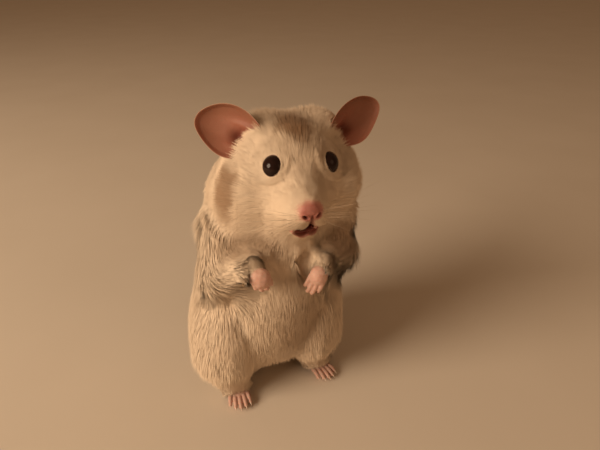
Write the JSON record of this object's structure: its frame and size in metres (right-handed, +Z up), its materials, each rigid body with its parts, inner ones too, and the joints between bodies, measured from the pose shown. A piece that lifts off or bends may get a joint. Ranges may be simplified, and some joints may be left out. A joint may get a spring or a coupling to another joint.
{
  "type": "syrian hamster",
  "caption": "Life-size still model of a young Syrian hamster sitting upright on its hind feet, forepaws held to its chest, cream coat with smoky grey patches.",
  "frame": {"origin": "on the floor, under the middle of the animal's bounding box", "axes": "+Z up from the floor to the ears; the animal faces -Y and its right side is towards -X"},
  "size_m": [0.0652, 0.0572, 0.0943],
  "materials": {
    "fur_cream": "soft matt coat of short fine hair, cream with smoky grey patches",
    "fur_smoke": "soft matt coat of short fine hair, cream and smoky grey",
    "pink_skin": "thin pink skin of nose, paws and tail, matt with fine creases",
    "ear_skin": "thin bare ear skin, dusky pink inside, paler at the rim",
    "eye": "wet, near-black brown"
  },
  "bodies": {
    "root": {"head": "fur_cream", "neck": "fur_smoke", "trunk": "fur_cream", "arm_right": "fur_cream", "arm_left": "fur_cream", "leg_right": "fur_cream", "leg_left": "fur_cream", "nose": "pink_skin", "tail": "pink_skin", "hand_right": "pink_skin", "hand_left": "pink_skin", "foot_right": "pink_skin", "foot_left": "pink_skin", "ear_right": "ear_skin", "ear_left": "ear_skin", "eye_right": "eye", "eye_left": "eye"}
  },
  "joints": []
}
